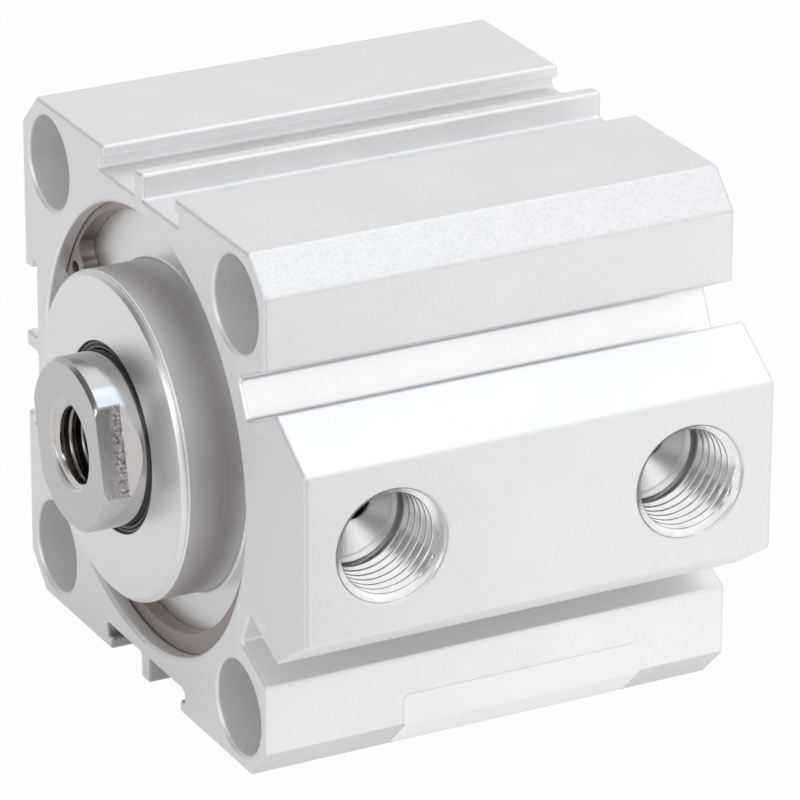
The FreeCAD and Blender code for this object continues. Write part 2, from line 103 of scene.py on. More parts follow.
# Thread ridges: start, end and fade in turns, and half sections as (share of the pitch, share of the height)
RIDGE_START = -0.15
RIDGE_END = 0.5
RIDGE_FADE = 0.25
RIDGE_CLEARANCE = 0.02 * MM
LEAD_IN_SLOPE = 3.0
LEAD_IN_SINK = 0.06 * MM
THREAD_HAND = -1
ROUND_RIDGE = ((0.48, -0.1), (0.45, 0), (0.39, 0.25), (0.30, 0.62), (0.19, 0.88), (0.08, 0.985))
STRAIGHT_RIDGE = ((0.485, -0.1), (0.46, 0), (0.41, 0.08), (0.15, 0.84), (0.09, 0.955), (0.03, 1.0))
PORT_TURN = Matrix.Rotation(math.radians(90), 3, "Z") @ Matrix.Rotation(math.radians(90), 3, "X")
HALF_TURN = Matrix.Rotation(math.pi, 3, "Z")

# Spanner flats of the rod
FLAT_TURN = math.radians(13)
FLAT_REACH = 8.5 * MM
FLAT_LENGTH = 3.0 * MM
FLAT_TOLERANCE = 0.05 * MM
RUN_OUT_SLOPE = 1.0

# Front cover, as stations along the bore and radii in millimetres
COVER_BACK = 48.0
FLANGE_BACK = 50.0
FLANGE_FRONT = 54.0
COLLAR_FRONT = 62.0
NOSE_RADIUS = 22.0
FLANGE_RADIUS = 25.95
COLLAR_RADIUS = 18.97
COVER_BEVEL = 0.4
ORING_GROOVE_BACK = 50.8
ORING_GROOVE_FRONT = 53.2
ORING_GROOVE_RADIUS = 24.4
COLLAR_ROOT_ROUND = 0.43
COLLAR_BEAD = {"middle": (61.05, 18.67), "radius": 0.33, "first": 115, "last": 24, "steps": 5}
COLLAR_RIM = ((61.42, 18.8), (61.46, 18.93), (61.93, 18.46))
COLLAR_FACE_RADIUS = 18.34
OPENING_RADIUS = 11.05
OPENING_BEVEL = 0.07
SEAL_SEAT_BACK = 55.4
SEAL_SEAT_FRONT = 60.4
SEAL_SEAT_RADIUS = 14.0
BUSH_SEAT_RADIUS = 12.04

# Rod seal, as stations along the bore and radii in millimetres
SEAL_BACK = 55.5
SEAL_FRONT = 60.3
SEAL_INNER_RADIUS = 10.06
SEAL_OUTER_RADIUS = 13.98
SEAL_HOLLOW_RADIUS = 10.96
SEAL_LIP_LAND = 0.8
SEAL_NOTCH_DEPTH = 1.7
WIPER_OUTER_RADIUS = 11.03
WIPER_ROUND = 0.24
INNER_LIP_STATION = 61.46
OUTER_LIP_STATION = 61.44
LIP_STEPS = 7

# Foil label on the lower land, folded over its chamfer
LAND_FOLD = -27.0 * MM
LABEL_WRAP = 3.6 * MM
FOIL_EDGE_ROUND = 0.03 * MM

# Zones of the barrel's finish, and of its painted light and shade
END_SKIN = 0.1 * MM
HOLE_ZONE = 5.72 * MM
BORE_ZONE = 27.1 * MM
BORE_WALL = 25.1 * MM
PORT_ZONE = 6.87 * MM
PORT_MOUTH_SKIN = 0.3 * MM
PORT_THREAD_END = 32.2 * MM
PORT_DRILL_WALL = 5.6 * MM
CHAMFER_ZONE = 57.7 * MM
LOW_CHAMFER_ZONE = 57.8 * MM
CHANNEL_LEVELS = (27.5 * MM, 30.9 * MM)
CHANNEL_REACH = 10.4 * MM
SLOT_LEVELS = (11.0 * MM, 19.0 * MM)
SLOT_DEPTHS = (24.0 * MM, 30.9 * MM)
LOW_LAND_TOP = -19.0 * MM
LAND_LEVEL = 30.7 * MM

# Zones of the collar's side, which painted light makes lighter and which has its own roughness
COLLAR_SIDE_RADII = (18.6 * MM, 19.1 * MM)
COLLAR_SIDE_STATIONS = (54.2 * MM, 61.38 * MM)

# Zones of the rod's end, with stations measured from its front
ROD_SKIN = ROD_FRONT - 0.03 * MM
ROD_HOLE_RADIUS = 5.2 * MM
ROD_HOLE_STATION = ROD_FRONT - 0.9 * MM
ROD_MOUTH_RADIUS = 5.6 * MM
ROD_MOUTH_STATIONS = (ROD_FRONT - 1.7 * MM, ROD_SKIN)
FLAT_STATION = ROD_FRONT - 3.1 * MM
FLAT_LEVELS = (8.42 * MM, 8.58 * MM)
TORN_STATIONS = (ROD_FRONT - 2.3 * MM, ROD_FRONT - 1.5 * MM)
RUN_OUT_STATIONS = (ROD_FRONT - 4.65 * MM, ROD_FRONT - 2.96 * MM)
RUN_OUT_RADII = (8.6 * MM, 9.93 * MM)
RUN_OUT_LEVEL = 8.56 * MM
ROUND_RADIUS = 9.9 * MM
ROUND_STATION = ROD_FRONT - 0.55 * MM
THREAD_SHADE_STATIONS = (ROD_FRONT - 1.9 * MM, ROD_FRONT - 1.1 * MM)

# Darkest and lightest tint of each finish, or its one tint
BLASTED_TINT = (0.955, 1.03)
CUT_TINT = (0.97, 1.03)
TURNED_TINT = (0.975, 1.02)
CHROME_TINT = (0.98, 1.02)
ROD_END_TINT = (0.96, 1.03)
MILLED_TINT = (0.93, 1.06)
TORN_TINT = (0.25, 2.2)
RUN_OUT_TINT = (0.94, 1.06)
# Painted shade: tint of the dark steel deep in the rod's hole
ROD_HOLE_TINT = (0.6, 0.8)
ROD_MOUTH_TINT = (0.94, 1.05)
# Painted shade: tint of the dark steel deep in the rod's thread
THREAD_TINT = (0.9, 1.08)
METAL_TINT = (0.92, 1.06)
PORT_MOUTH_TINT = 0.9
# Painted light: the collar's side lighter than the turned face
COLLAR_SIDE_PAINTED_LIGHT = 1.12

# Grain: middle of a noise, share of the clouds in the shade, and heights of the rod's lines and tears
NOISE_MIDDLE = 0.5
CLOUD_SHARE = 0.5
LINE_HEIGHT = 0.15
TEAR_HEIGHT = 4.0

# Roughness of each finish, as lowest and highest where it varies
BLASTED_ROUGH = (0.42, 0.6)
PORT_ROUGH = 0.16
PORT_WALL_ROUGH = 0.26
COLLAR_FACE_ROUGH = (0.31, 0.4)
COLLAR_SIDE_ROUGH = (0.42, 0.5)
CHROME_ROUGH = (0.09, 0.16)
ROD_END_ROUGH = 0.36
MILLED_ROUGH = (0.24, 0.36)
TORN_ROUGH = (0.2, 0.5)
RUN_OUT_ROUGH = 0.33
THREAD_ROUGH = (0.16, 0.26)

# Metallic look left in recesses, lean of normals where a wall curves or tapers, and radius of soft edges
RECESS_METALLIC = 0.42
HOLE_RECESS = 0.75
DRILL_LEAN = 2.2
ROUND_LEAN = 0.123
MOUTH_LEAN = 0.8
EDGE_SOFTNESS = 0.42 * MM

# Camera, with its turn in degrees
CAMERA_PLACE = (0.316806, 0.553078, 0.264838)
CAMERA_TURN = (66.83766, -0.20091, 152.29219)

# Soft boxes and dome, with ranges of a direction's share along an axis or along another direction
LAMP_AIM = (0.06, 0.0, 0.0)
KEY_PLACE = (-0.155, 0.25, 0.94)
FILL_PLACE = (0.94, 0.25, 0.30)
PATCH_DIRECTION = (-0.43, -0.18, 0.88)
PATCH_RANGE = (0.86, 0.96)
GAP_DIRECTION = (0.72, -0.35, 0.6)
GAP_RANGE = (0.8, 0.95)
DARK_SIDE = (0.466, 0.885, 0.0)
DARK_RANGE = (0.86, 0.94)
DARK_SHARE = 0.25
SIDE_RANGE = (-0.5, 0.35)
BOSS_SIDE_RANGE = (-0.1, 0.35)
BOSS_HEIGHT_RANGE = (0.0, 0.37)
OVERHEAD_RANGE = (0.4, 0.75)
WHITE = (1.0, 1.0, 1.0, 1.0)

# Floor, where rise and fall are two shares and the places they hold at; the rise and fall make a painted
# bright band and the dim makes a painted dark patch, both seen only in reflections
FLOOR_MIDDLE = (0.029, 0.02, 0.0)
FLOOR_PAINTED_SHADE = (0.2, 0.2, 0.2, 1.0)
FLOOR_DIM = 0.75
FLOOR_DIM_START = (40.0 * MM, 70.0 * MM)
FLOOR_RISE = (0.4, 0.9, 0.0, 45.0 * MM)
FLOOR_FALL = (1.0, 0.83, 55.0 * MM, 85.0 * MM)
FLOOR_SEEN = 0.95


# Settings that a user would change


def number(label, text, value, **settings):
    """Number property with its default."""
    return bpy.props.FloatProperty(name=label, description=text, default=value, **settings)


def length(label, text, millimetres):
    """Length property with its default in millimetres."""
    return number(label, text, millimetres * MM, unit="LENGTH", precision=6)


def colour(label, text, red, green, blue):
    """Linear colour property."""
    return bpy.props.FloatVectorProperty(
        name=label, description=text, default=(red, green, blue, 1.0), size=4, subtype="COLOR", min=0, max=1
    )


class CylinderSizes(bpy.types.PropertyGroup):
    """Sizes of the pieces that are modelled here."""

    port_pitch: length("Port pitch", "Rise of one turn of the pipe thread", 1.337)
    port_crest: length("Port crest", "Radius at the crests of the pipe thread", 5.74)
    port_root: length("Port root", "Radius of the wall behind the pipe thread", 6.58)
    port_mouth: length("Port mouth", "Bevel at the mouth of the pipe thread", 0.27)
    port_depth: length("Port depth", "Depth of the pipe thread", 9.8)
    rod_pitch: length("Rod pitch", "Rise of one turn of the rod's thread", 1.5)
    rod_crest: length("Rod crest", "Radius at the crests of the rod's thread", 4.19)
    rod_root: length("Rod root", "Radius of the wall behind the rod's thread", 5.0)
    rod_mouth: length("Rod mouth", "Countersink at the mouth of the rod's thread", 0.45)
    rod_depth: length("Rod depth", "Depth of the rod's thread", 14.4)
    mount_pitch: length("Screw pitch", "Rise of one turn of a mounting thread", 1.25)
    mount_crest: length("Screw crest", "Radius at the crests of a mounting thread", 3.35)
    mount_root: length("Screw root", "Radius of the wall behind a mounting thread", 4.0)
    mount_mouth: length("Screw mouth", "Bevel at the mouth of a mounting thread", 0.3)
    mount_depth: length("Screw depth", "Depth of a mounting thread", 16.0)
    cover_edge_round: length("Cover edge round", "Radius on the turned edges of the front cover", 0.02)
    rod_edge_round: length("Rod edge round", "Radius on the edges of the rod", 0.08)
    ring_edge_round: length("Ring edge round", "Radius on the stamped edges of the retaining rings", 0.16)
    foil_corner: length("Foil corner", "Corner radius of the foil label", 0.8)
    foil_thickness: length("Foil thickness", "Thickness of the foil label", 0.1)


class CylinderFinishes(bpy.types.PropertyGroup):
    """Colours of the finishes."""

    body: colour("Body", "Blasted and clear anodised aluminium", 0.918, 0.915, 0.921)
    cut_end: colour("Cut end", "Machined end faces of the body", 0.812, 0.81, 0.815)
    cut_thread: colour("Cut thread", "Bright aluminium of threads and drilled holes", 0.90, 0.895, 0.885)
    turned: colour("Turned covers", "Turned aluminium of the covers", 0.795, 0.793, 0.793)
    ring: colour("Rings", "Phosphated spring steel", 0.36, 0.31, 0.285)
    chrome: colour("Rod", "Hard chrome of the rod", 0.55, 0.547, 0.547)
    rod_end: colour("Rod end", "Turned steel of the rod's end", 0.575, 0.575, 0.58)
    milled: colour("Milled flats", "Milled steel of the spanner flats", 0.45, 0.43, 0.425)
    run_out: colour("Run-out", "Bright steel where the cutter left the flats", 0.585, 0.55, 0.54)
    rod_mouth: colour("Rod mouth", "Bright steel at the mouth of the rod's thread", 0.62, 0.6, 0.585)
    # Painted shade: the dark colour deep in the rod's threaded hole
    rod_thread: colour("Rod thread", "Cut steel of the rod's thread", 0.3, 0.27, 0.25)
    rubber: colour("Rubber", "Black rubber of seals and bumpers", 0.012, 0.012, 0.013)
    bronze: colour("Bush", "Bronze of the rod bush", 0.48, 0.30, 0.13)
    guide: colour("Guide strip", "Filled plastic of the wear ring", 0.05, 0.045, 0.04)
    magnet: colour("Magnet", "Sintered ring magnet", 0.03, 0.03, 0.033)
    screw: colour("Screw", "Blackened steel of the piston screw", 0.05, 0.05, 0.055)
    foil: colour("Foil", "Bare foil of the label", 0.98, 0.98, 0.985)


class CylinderStage(bpy.types.PropertyGroup):
    """Floor, light and camera."""

    floor: colour("Floor", "Pale floor", 0.9, 0.9, 0.9)
    floor_size: length("Floor size", "Side of the square floor", 6000.0)
    lens: number("Lens", "Focal length in millimetres", 266.99)
    key_power: number("Key power", "Power of the soft box overhead", 0.56, unit="POWER")
    key_size: length("Key size", "Side of the square soft box overhead", 450.0)
    key_colour: colour("Key colour", "Colour of the soft box overhead", 0.6, 0.79, 1.0)
    fill_power: number("Fill power", "Power of the soft box in front of the rod", 0.7, unit="POWER")
    fill_size: length("Fill size", "Side of the square soft box in front of the rod", 350.0)
    fill_colour: colour("Fill colour", "Colour of the soft box in front of the rod", 0.95, 0.98, 1.0)
    sky: number("Sky", "Strength of the dome overhead", 0.92)
    sky_rise: number("Sky rise", "How much the dome gains at its brightest place overhead", 0.3)
    bright_side: number("Bright side", "Strength of the dome at the horizon on the boss side", 0.92)
    bright_rise: number("Bright rise", "How much the boss side gains above the horizon", 0.2)
    dim_side: number("Dim side", "Strength of the dome near the horizon behind the object", 0.67)


# Modelling helpers


def clear_selection():
    """Leave edit mode and select nothing."""
    if bpy.context.object and bpy.context.object.mode != "OBJECT":
        bpy.ops.object.mode_set(mode="OBJECT")
    bpy.ops.object.select_all(action="DESELECT")


def pick(piece):
    """Make one piece the only selected and active one."""
    clear_selection()
    piece.select_set(True)
    bpy.context.view_layer.objects.active = piece


def edit_all(piece):
    """Enter edit mode on one piece with all of it selected."""
    pick(piece)
    bpy.ops.object.mode_set(mode="EDIT")
    bpy.ops.mesh.select_all(action="SELECT")


def start_line(name, place):
    """New mesh of a single point, in edit mode, from a plane merged at its centre."""
    clear_selection()
    bpy.ops.mesh.primitive_plane_add(size=MM, location=(0, 0, 0))
    piece = bpy.context.active_object
    piece.name = name
    piece.data.name = name
    edit_all(piece)
    bpy.ops.mesh.merge(type="CENTER")
    bpy.ops.transform.translate(value=place)
    return piece


def draw_line(points):
    """Extrude the selected point through the rest of a line, then select all of it."""
    for here, there in zip(points, points[1:]):
        step = Vector(there) - Vector(here)
        bpy.ops.mesh.extrude_region_move(TRANSFORM_OT_translate={"value": step})
    bpy.ops.mesh.select_all(action="SELECT")


def draw_loop(name, points):
    """New mesh of a closed line through points, in edit mode with all of it selected."""
    piece = start_line(name, points[0])
    draw_line(points + points[:1])
    bpy.ops.mesh.remove_doubles(threshold=MERGE_DISTANCE)
    return piece


def apply_modifier(piece, kind, **settings):
    """Add one modifier with its settings and apply it."""
    pick(piece)
    modifier = piece.modifiers.new(kind.title(), kind)
    for key, value in settings.items():
        setattr(modifier, key, value)
    bpy.ops.object.modifier_apply(modifier=modifier.name)


def close_up(piece):
    """Merge doubles and point the faces outwards."""
    edit_all(piece)
    bpy.ops.mesh.remove_doubles(threshold=MERGE_DISTANCE)
    bpy.ops.mesh.normals_make_consistent(inside=False)
    bpy.ops.object.mode_set(mode="OBJECT")


def smooth(piece, angle=SMOOTH_ANGLE):
    """Shade a piece smooth across edges under an angle."""
    pick(piece)
    bpy.ops.object.shade_smooth_by_angle(angle=angle)


def round_edges(piece, width):
    """Round the sharp edges a little and shade the rest smooth."""
    apply_modifier(piece, "BEVEL", width=width, segments=2, limit_method="ANGLE", angle_limit=SMOOTH_ANGLE)
    smooth(piece)
    apply_modifier(piece, "WEIGHTED_NORMAL", keep_sharp=True, weight=100)


def arc(middle, radius, first, last, steps):
    """Points of an arc in a profile, from one angle to another in degrees, with 0 along the bore axis."""
    angles = [math.radians(first + (last - first) * step / steps) for step in range(steps + 1)]
    return [(middle[0] + radius * math.cos(angle), middle[1] + radius * math.sin(angle)) for angle in angles]


def turned_piece(name, profile):
    """Solid of revolution about the bore axis from a closed profile of (station, radius) in millimetres."""
    piece = draw_loop(name, [(station * MM, radius * MM, 0) for station, radius in profile])
    bpy.ops.mesh.spin(steps=TURN_STEPS, angle=math.tau, center=(0, 0, 0), axis=(1, 0, 0))
    close_up(piece)
    return piece


def copied(source, name):
    """Copy of a piece with its own mesh."""
    piece = bpy.data.objects.new(name, source.data.copy())
    piece.data.name = name
    bpy.context.scene.collection.objects.link(piece)
    return piece


def merged_copy(node, name):
    """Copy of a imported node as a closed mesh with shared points."""
    piece = copied(frame["nodes"][node], name)
    pick(piece)
    piece.data.materials.clear()
    bpy.ops.mesh.customdata_custom_splitnormals_clear()
    close_up(piece)
    bpy.ops.object.mode_set(mode="EDIT")
    bpy.ops.mesh.dissolve_limited(angle_limit=FLATNESS)
    bpy.ops.object.mode_set(mode="OBJECT")
    return piece


def thread_sizes(sizes, kind):
    """Pitch, crest radius, root radius, mouth bevel and depth of one kind of thread."""
    return [getattr(sizes, f"{kind}_{part}") for part in ("pitch", "crest", "root", "mouth", "depth")]


def thread_turns(name, pitch, crest, root, mouth, depth, shape=ROUND_RIDGE, steps=THREAD_STEPS):
    """Right-handed ridge of an inner thread about X, from x = 0 along -X, that fades into the wall."""
    height = root - crest
    half = [(share * pitch, root - rise * height) for share, rise in shape]
    first = -mouth - RIDGE_START * pitch
    profile = [(first - x, radius, 0) for x, radius in half]
    profile += [(first + x, radius, 0) for x, radius in reversed(half)]
    turns = (depth - mouth) / pitch - RIDGE_START - RIDGE_END
    rings = round(steps * turns)
    piece = draw_loop(name, profile)
    apply_modifier(
        piece, "SCREW", axis="X", steps=rings, render_steps=rings, angle=THREAD_HAND * turns * math.tau,
        screw_offset=-turns * pitch, iterations=1, use_smooth_shade=False,
    )
    fade_ridge(piece, len(profile), half[0][1], root, mouth, RIDGE_FADE * steps)
    edit_all(piece)
    bpy.ops.mesh.remove_doubles(threshold=MERGE_DISTANCE)
    bpy.ops.mesh.select_all(action="DESELECT")
    bpy.ops.mesh.select_non_manifold(extend=False)
    bpy.ops.mesh.edge_face_add()
    close_up(piece)
    smooth(piece, THREAD_SMOOTH_ANGLE)
    return piece


def fade_ridge(piece, ring_size, buried, root, mouth, fade):
    """Sink the ends of a ridge into the wall, and its first turn behind the lead-in at the mouth."""
    last = len(piece.data.vertices) // ring_size - 1
    for point in piece.data.vertices:
        ring = point.index // ring_size
        share = min(1.0, (ring + 1) / fade, (last - ring + 1) / fade)
        radius = math.hypot(point.co.y, point.co.z)
        lead_in = root + LEAD_IN_SINK + LEAD_IN_SLOPE * (mouth + point.co.x)
        open_to = max(buried - (buried - radius) * share, min(buried, lead_in))
        point.co.y *= open_to / radius
        point.co.z *= open_to / radius
        point.co.x = min(point.co.x, -mouth - RIDGE_CLEARANCE)


def slope_run_outs(rod):
    """Slope the end walls of the rod's flats, as the cutter leaves them."""
    square_on = Vector((0, math.cos(FLAT_TURN), math.sin(FLAT_TURN)))
    for point in rod.data.vertices:
        rise = abs(point.co.dot(square_on)) - FLAT_REACH
        if abs(point.co.x - ROD_FRONT + FLAT_LENGTH) < FLAT_TOLERANCE and rise > 0:
            point.co.x -= RUN_OUT_SLOPE * rise


def put(piece, place, turn=None):
    """Set a piece in its place, with the place in its mesh."""
    if turn is not None:
        piece.data.transform(turn.to_4x4())
    piece.data.transform(Matrix.Translation(place))
    piece.data.update()


def dress(piece, material, body, node=None):
    """Give a finished piece its material and the body it moves with, and hide the node it stands for."""
    piece.data.materials.clear()
    piece.data.materials.append(material)
    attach(piece, body)
    if node:
        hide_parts(node)


def coat(node, material):
    """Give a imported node's material slots a finish."""
    for slot in frame["nodes"][node].material_slots:
        slot.material = material


# Material helpers


def feed(made, inputs):
    """Link the sockets and set the plain values among a node's inputs."""
    for key, value in inputs.items():
        if isinstance(value, bpy.types.NodeSocket):
            made.id_data.links.new(value, made.inputs[key])
        else:
            made.inputs[key].default_value = value


def node(kind, inputs, tree=None, **settings):
    """Add one shader node with its inputs and settings, to a given tree or that of the sockets it takes."""
    if tree is None:
        tree = next(value.id_data for value in inputs.values() if isinstance(value, bpy.types.NodeSocket))
    made = tree.nodes.new(kind)
    for key, value in settings.items():
        setattr(made, key, value)
    feed(made, inputs)
    return made


def sums(operation, first, second=0.0):
    """Socket of one Math node."""
    return node("ShaderNodeMath", {0: first, 1: second}, operation=operation).outputs[0]


def added(first, second):
    """First value plus the second."""
    return sums("ADD", first, second)


def less(first, second):
    """First value minus the second."""
    return sums("SUBTRACT", first, second)


def product(first, *others):
    """All values multiplied, which is 1 where all zones overlap."""
    for other in others:
        first = sums("MULTIPLY", first, other)
    return first


def greatest(first, *others):
    """Largest of the values, which is 1 where any of the zones is."""
    for other in others:
        first = sums("MAXIMUM", first, other)
    return first


def above(value, limit):
    """1 where a value is over a limit, else 0."""
    return sums("GREATER_THAN", value, limit)


def below(value, limit):
    """1 where a value is under a limit, else 0."""
    return sums("LESS_THAN", value, limit)


def within(value, low, high):
    """1 where a value lies between two limits, else 0."""
    return product(above(value, low), below(value, high))


def mixed(factor, first, second):
    """Value between two values."""
    return node("ShaderNodeMix", {0: factor, 2: first, 3: second}, data_type="FLOAT").outputs[0]


def blended(factor, first, second):
    """Colour between two colours."""
    return node("ShaderNodeMix", {0: factor, 6: first, 7: second}, data_type="RGBA").outputs[2]


def split(place):
    """X, Y and Z of a place."""
    return node("ShaderNodeSeparateXYZ", {0: place}).outputs


def joined(**values):
    """Vector from the values given for X, Y and Z."""
    return node("ShaderNodeCombineXYZ", values).outputs[0]


def mapped(place, **inputs):
    """Place through a Mapping node."""
    return node("ShaderNodeMapping", {"Vector": place, **inputs}).outputs[0]


def combined(operation, first, second=None):
    """Outputs of one Vector Math node."""
    inputs = {0: first} if second is None else {0: first, 1: second}
    return node("ShaderNodeVectorMath", inputs, operation=operation).outputs


def toward(way, direction):
    """Share of a way that points in a direction."""
    return combined("DOT_PRODUCT", way, direction)["Value"]


def noise(place, size, detail=2.0, roughness=0.55):
    """Noise value whose lumps are about the given size across."""
    inputs = {"Vector": place, "Scale": 1 / size, "Detail": detail, "Roughness": roughness}
    return node("ShaderNodeTexNoise", inputs).outputs["Fac"]


def spread(value, low, high, from_low=0.3, from_high=0.7):
    """Map a value to a range."""
    inputs = {"Value": value, "From Min": from_low, "From Max": from_high, "To Min": low, "To Max": high}
    return node("ShaderNodeMapRange", inputs).outputs["Result"]


def scaled(base, factor):
    """Colour times a value."""
    inputs = {0: base[:3], "Scale": factor}
    return node("ShaderNodeVectorMath", inputs, operation="SCALE").outputs["Vector"]


def tinted(base, value, low, high):
    """Colour that is the base made a little darker or lighter by a value."""
    return scaled(base, spread(value, low, high))


def leaned(normal, lean):
    """Normal that leans by an offset."""
    offset = combined("ADD", normal, lean)["Vector"]
    return combined("NORMALIZE", offset)["Vector"]


def bumped(shader, height, strength, depth, normal=None):
    """Bump from a height value, on the surface's own normal or a given one."""
    made = node("ShaderNodeBump", {"Height": height, "Strength": strength, "Distance": depth})
    if normal is not None:
        feed(made, {"Normal": normal})
    feed(shader, {"Normal": made.outputs["Normal"]})


def off_axis(across, along):
    """Distance from a line, from two offsets square to it."""
    squares = added(sums("POWER", across, 2.0), sums("POWER", along, 2.0))
    return sums("SQRT", squares)


def blank_material(name):
    """Material with its Principled shader and the Object coordinates."""
    material = bpy.data.materials.new(name)
    material.use_nodes = True
    tree = material.node_tree
    shader = tree.nodes["Principled BSDF"]
    place = node("ShaderNodeTexCoord", {}, tree).outputs["Object"]
    return material, shader, place


# Finishes


def barrel_zones(place):
    """Zones of the barrel that differ in finish, and zones of painted light and shade, each 1 inside and 0
    outside.
    """
    apart = split(place)
    across = sums("ABSOLUTE", apart["Y"])
    up = sums("ABSOLUTE", apart["Z"])
    from_middle = sums("ABSOLUTE", less(apart["X"], BODY_MIDDLE))
    hole_radius = off_axis(less(across, HOLE_OFFSET), less(up, HOLE_OFFSET))
    bore_radius = off_axis(apart["Y"], apart["Z"])
    port_radius = off_axis(less(from_middle, PORT_OFFSET), apart["Z"])
    port = product(below(port_radius, PORT_ZONE), above(apart["Y"], BORE_WALL))
    past_thread = product(port, below(apart["Y"], PORT_THREAD_END))
    channel = product(within(up, *CHANNEL_LEVELS), below(across, CHANNEL_REACH))
    slot = product(within(up, *SLOT_LEVELS), within(apart["Y"], *SLOT_DEPTHS))
    low_half = below(apart["Z"], 0.0)
    return {
        "end": above(from_middle, HALF_LENGTH - END_SKIN),
        "hole": below(hole_radius, HOLE_ZONE),
        "bore": below(bore_radius, BORE_ZONE),
        "port": port,
        "port_mouth": product(port, above(apart["Y"], BOSS_FACE - PORT_MOUTH_SKIN)),
        "past_thread": past_thread,
        "drill": product(past_thread, above(port_radius, PORT_DRILL_WALL)),
        "chamfer": above(added(across, apart["Z"]), CHAMFER_ZONE),
        # Painted shade zone: the lower chamfer
        "low_chamfer_painted_shade": above(less(across, apart["Z"]), LOW_CHAMFER_ZONE),
        "channel": channel,
        # Painted shade zone: the channels on the lower half
        "underneath_painted_shade": product(channel, low_half),
        "slot": slot,
        "low_slot": product(slot, low_half),
        # Painted light zone: the lower land beside the boss
        "low_land_painted_light": product(below(apart["Z"], LOW_LAND_TOP), above(apart["Y"], LAND_LEVEL)),
    }


def blasted_aluminium(finishes):
    """Satin, fine-grained body with speckled chamfers, smoother machined holes and greyer cut ends, with
    painted shade in the channels and on the lower chamfer and painted light in the slots and on the lower
    land.
    """
    material, shader, place = blank_material("blasted_anodised_aluminium")
    zones = barrel_zones(place)
    grain = noise(place, size=0.16 * MM, detail=1.0)
    fleck = noise(place, size=0.3 * MM)
    cloud = noise(place, size=9.0 * MM)
    shade = added(grain, product(less(cloud, NOISE_MIDDLE), CLOUD_SHARE))
    surface = tinted(finishes.body, shade, *BLASTED_TINT)
    tints = (
        ("chamfer", fleck, 0.86, 0.97),
        # Painted shade: the channels a little darker than the open body
        ("channel", shade, 0.93, 1.03),
        # Painted shade: the channels on the lower half much darker
        ("underneath_painted_shade", shade, 0.5, 0.62),
        # Painted light: the slots a little lighter
        ("slot", shade, 1.0, 1.07),
        # Painted light: the lower land lighter
        ("low_land_painted_light", shade, 1.01, 1.08),
        # Painted shade: the lower chamfer darker
        ("low_chamfer_painted_shade", shade, 0.8, 0.87),
    )
    for zone, value, darkest, lightest in tints:
        surface = blended(zones[zone], surface, tinted(finishes.body, value, darkest, lightest))
    mouth_tint = mixed(zones["port_mouth"], 1.0, PORT_MOUTH_TINT)
    drilled = scaled(finishes.cut_thread, product(spread(grain, *CUT_TINT), mouth_tint))
    drilled_zones = greatest(zones["port"], zones["hole"], zones["low_slot"])
    surface = blended(drilled_zones, surface, drilled)
    surface = blended(zones["end"], surface, tinted(finishes.cut_end, grain, *CUT_TINT))
    rough = spread(grain, *BLASTED_ROUGH)
    plain_wall = greatest(zones["port_mouth"], zones["past_thread"])
    roughs = {"bore": 0.5, "hole": 0.4, "port": mixed(plain_wall, PORT_ROUGH, PORT_WALL_ROUGH), "slot": 0.3}
    for zone, value in roughs.items():
        rough = mixed(zones[zone], rough, value)
    recess = greatest(product(zones["hole"], HOLE_RECESS), zones["low_slot"])
    metallic = mixed(recess, 1.0, RECESS_METALLIC)
    feed(shader, {"Base Color": surface, "Roughness": rough, "Metallic": metallic})
    soft_edges = node("ShaderNodeBevel", {"Radius": EDGE_SOFTNESS}, shader.id_data, samples=6).outputs[0]
    lean = joined(Y=product(zones["drill"], DRILL_LEAN))
    bumped(shader, grain, strength=0.25, depth=0.03 * MM, normal=leaned(soft_edges, lean))
    return material


def turned_aluminium(finishes):
    """Turned covers with fine rings about the bore axis, a few handling marks and painted light that makes
    the collar's side lighter.
    """
    material, shader, place = blank_material("turned_aluminium")
    apart = split(place)
    radius = off_axis(apart["Y"], apart["Z"])
    rings = joined(X=apart["X"], Y=radius)
    lines = noise(rings, size=0.12 * MM, detail=3.0, roughness=0.7)
    slanted = mapped(place, Rotation=(0.6, 0.3, 0.5), Scale=(6.0, 0.7, 6.0))
    marks = noise(slanted, size=1.1 * MM, detail=3.0)
    scratch = spread(marks, low=0.0, high=0.1, from_low=0.62, from_high=0.75)
    on_side = product(within(radius, *COLLAR_SIDE_RADII), within(apart["X"], *COLLAR_SIDE_STATIONS))
    shade = added(spread(lines, *TURNED_TINT), scratch)
    # Painted light: the collar's side lighter than the turned face
    shade = product(shade, mixed(on_side, 1.0, COLLAR_SIDE_PAINTED_LIGHT))
    face_rough = spread(lines, *COLLAR_FACE_ROUGH)
    rough = mixed(on_side, face_rough, spread(lines, *COLLAR_SIDE_ROUGH))
    surface = scaled(finishes.turned, shade)
    feed(shader, {"Base Color": surface, "Roughness": rough, "Metallic": 1.0})
    bumped(shader, lines, strength=0.06, depth=0.01 * MM)
    return material


def rod_zones(apart, radius):
    """Zones of the rod that differ in finish, the hole among them darkened by painted shade, in the frame of
    its flats, each 1 inside and 0 outside.
    """
    along = apart["X"]
    across = sums("ABSOLUTE", apart["Y"])
    flat = product(within(across, *FLAT_LEVELS), above(along, FLAT_STATION))
    on_slope = product(within(along, *RUN_OUT_STATIONS), within(radius, *RUN_OUT_RADII))
    return {
        "end": above(along, ROD_SKIN),
        "hole": product(below(radius, ROD_HOLE_RADIUS), below(along, ROD_HOLE_STATION)),
        "mouth": product(below(radius, ROD_MOUTH_RADIUS), within(along, *ROD_MOUTH_STATIONS)),
        "flat": flat,
        "torn": product(flat, spread(along, 1.0, 0.0, *TORN_STATIONS)),
        "run_out": product(on_slope, above(across, RUN_OUT_LEVEL)),
        "round": product(above(radius, ROUND_RADIUS), below(along, ROUND_STATION)),
    }


